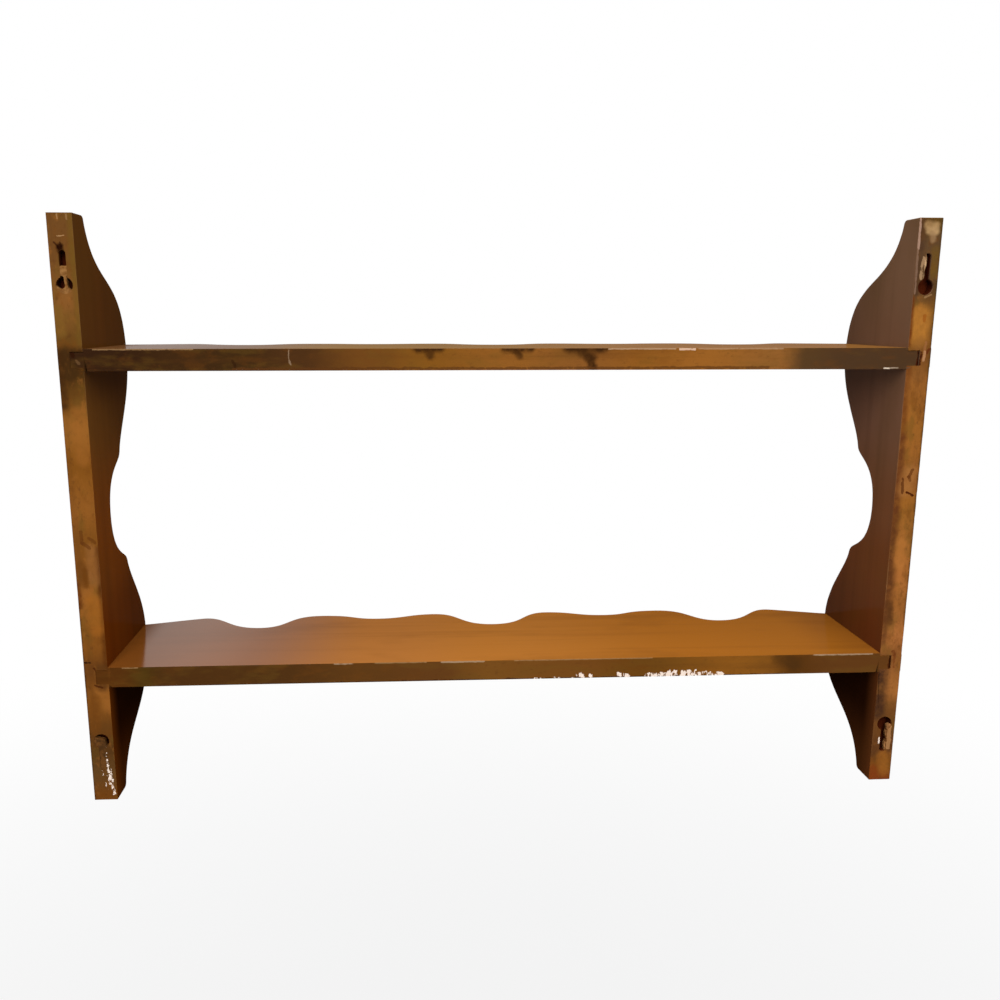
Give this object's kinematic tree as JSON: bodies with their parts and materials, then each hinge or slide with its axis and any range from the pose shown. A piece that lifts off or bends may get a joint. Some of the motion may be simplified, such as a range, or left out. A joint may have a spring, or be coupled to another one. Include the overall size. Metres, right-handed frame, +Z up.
{
  "type": "wall plate rack",
  "caption": "Small open-backed wooden wall rack: two shelves with scalloped fronts tongued into scrolled side boards, hung by keyholes in their rear edges.",
  "frame": {"origin": "on the wall plane, midway between the four keyhole entry holes in the rear edges of the side boards", "axes": "+X along the shelves to the right as seen from the front, +Y into the wall, +Z up; the front faces -Y"},
  "size_m": [0.65, 0.1205, 0.45],
  "materials": {
    "side_wood": "worn brown-stained lacquer",
    "shelf_wood": "worn amber lacquer",
    "nail_steel": "plain bright wire",
    "wood_stopping": "matt"
  },
  "bodies": {
    "root": {"left_side_board": "side_wood", "right_side_board": "side_wood", "top_shelf": "shelf_wood", "bottom_shelf": "shelf_wood", "top_left_nails": "nail_steel", "top_right_nails": "nail_steel", "bottom_left_nails": "nail_steel", "bottom_right_nails": "nail_steel", "top_left_stopping": "wood_stopping", "top_right_stopping": "wood_stopping", "bottom_left_stopping": "wood_stopping", "bottom_right_stopping": "wood_stopping"}
  },
  "joints": []
}
